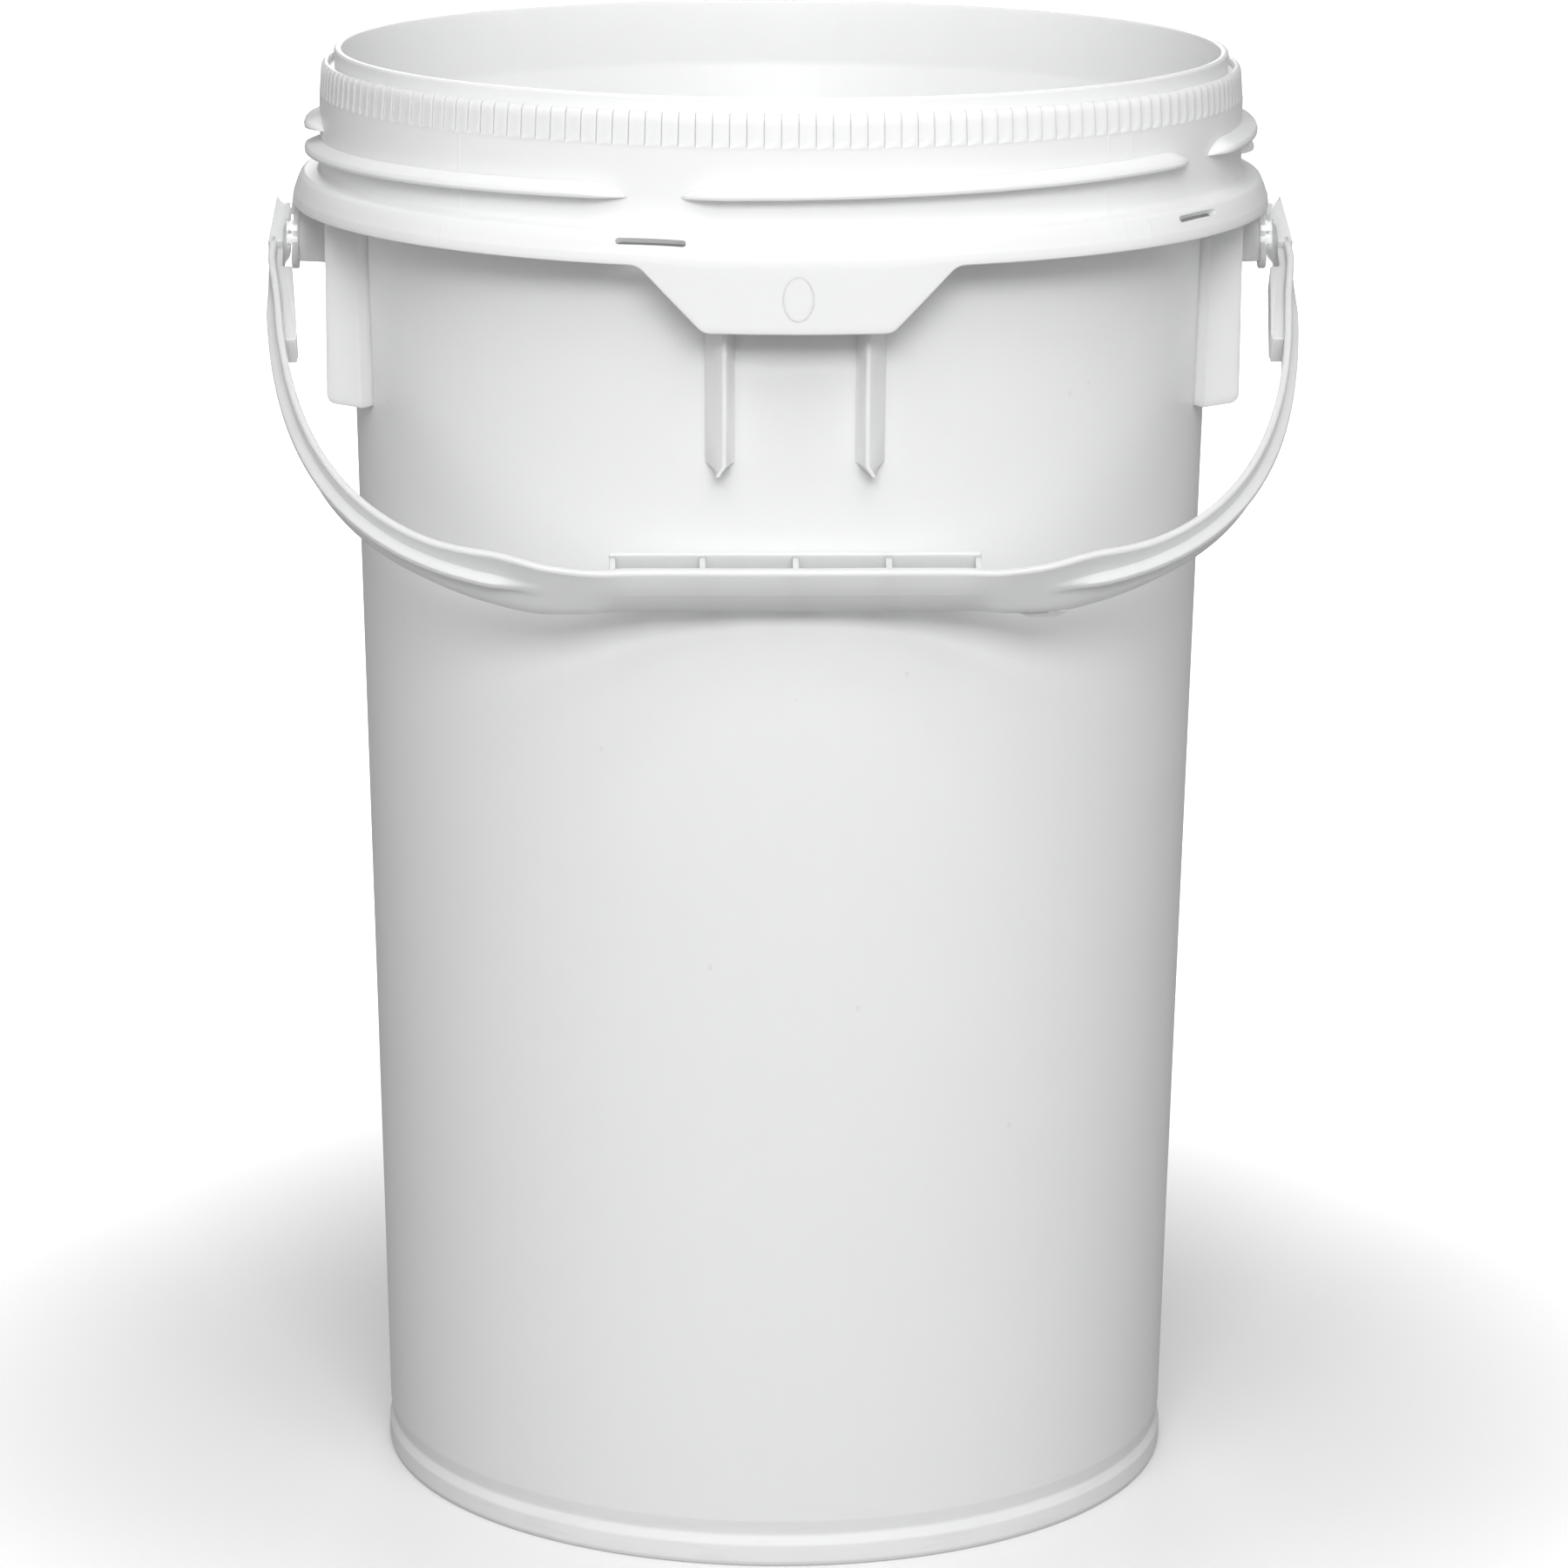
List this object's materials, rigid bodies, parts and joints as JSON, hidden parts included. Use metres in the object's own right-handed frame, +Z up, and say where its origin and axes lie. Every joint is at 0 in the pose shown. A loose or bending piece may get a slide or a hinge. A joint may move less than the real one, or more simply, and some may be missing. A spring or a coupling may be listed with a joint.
{
  "type": "fermenting bucket",
  "caption": "Tall open round plastic pail with a threaded screw neck, ratchet ring, collar, front tab and a swinging plastic bail handle.",
  "frame": {"origin": "centre of the foot ring, on the surface the bucket stands on", "axes": "+Z up along the pail's axis, -Y towards the front tab and the resting bail, X along the bail's hinge axis"},
  "size_m": [0.3404, 0.3236, 0.483],
  "materials": {
    "pail_hdpe": "semi-gloss opaque white polyethylene, as moulded",
    "pail_thin_hdpe": "thin white polyethylene plates that let some light through",
    "bail_hdpe": "satin natural polyethylene, slightly translucent and greyer than the pail"
  },
  "bodies": {
    "pail": {"pail_wall": "pail_hdpe", "pail_floor": "pail_hdpe", "foot_ring": "pail_hdpe", "ratchet_ring": "pail_hdpe", "neck_skirt": "pail_hdpe", "thread_1_run_1": "pail_hdpe", "thread_1_run_2": "pail_hdpe", "thread_1_run_3": "pail_hdpe", "thread_2_run_1": "pail_hdpe", "thread_2_run_2": "pail_hdpe", "thread_2_run_3": "pail_hdpe", "collar_flange": "pail_hdpe", "front_tab": "pail_hdpe", "tab_rib_left": "pail_hdpe", "tab_rib_right": "pail_hdpe", "side_plate_left_front": "pail_thin_hdpe", "side_plate_left_rear": "pail_thin_hdpe", "side_plate_right_front": "pail_thin_hdpe", "side_plate_right_rear": "pail_thin_hdpe", "ear_web_left_front": "pail_thin_hdpe", "ear_web_left_rear": "pail_thin_hdpe", "ear_web_right_front": "pail_thin_hdpe", "ear_web_right_rear": "pail_thin_hdpe", "ear_leaf_left": "pail_hdpe", "ear_leaf_right": "pail_hdpe", "pin_left_lower": "pail_hdpe", "pin_left_upper": "pail_hdpe", "pin_right_lower": "pail_hdpe", "pin_right_upper": "pail_hdpe"},
    "bail": {"bail_eye_left": "bail_hdpe", "bail_eye_right": "bail_hdpe", "bail_arm_left": "bail_hdpe", "bail_arm_right": "bail_hdpe", "stop_lug_left": "bail_hdpe", "stop_lug_right": "bail_hdpe", "grip_strap": "bail_hdpe", "grip_flange": "bail_hdpe", "grip_rib_1": "bail_hdpe", "grip_rib_2": "bail_hdpe", "grip_rib_3": "bail_hdpe", "grip_rib_4": "bail_hdpe", "grip_rib_5": "bail_hdpe"}
  },
  "joints": [
    {"name": "bail_pivot", "type": "hinge", "parent": "pail", "child": "bail", "pos_m": [0, 0, 0.4208], "axis": [-1, 0, 0], "range_deg": [0, 240]}
  ]
}
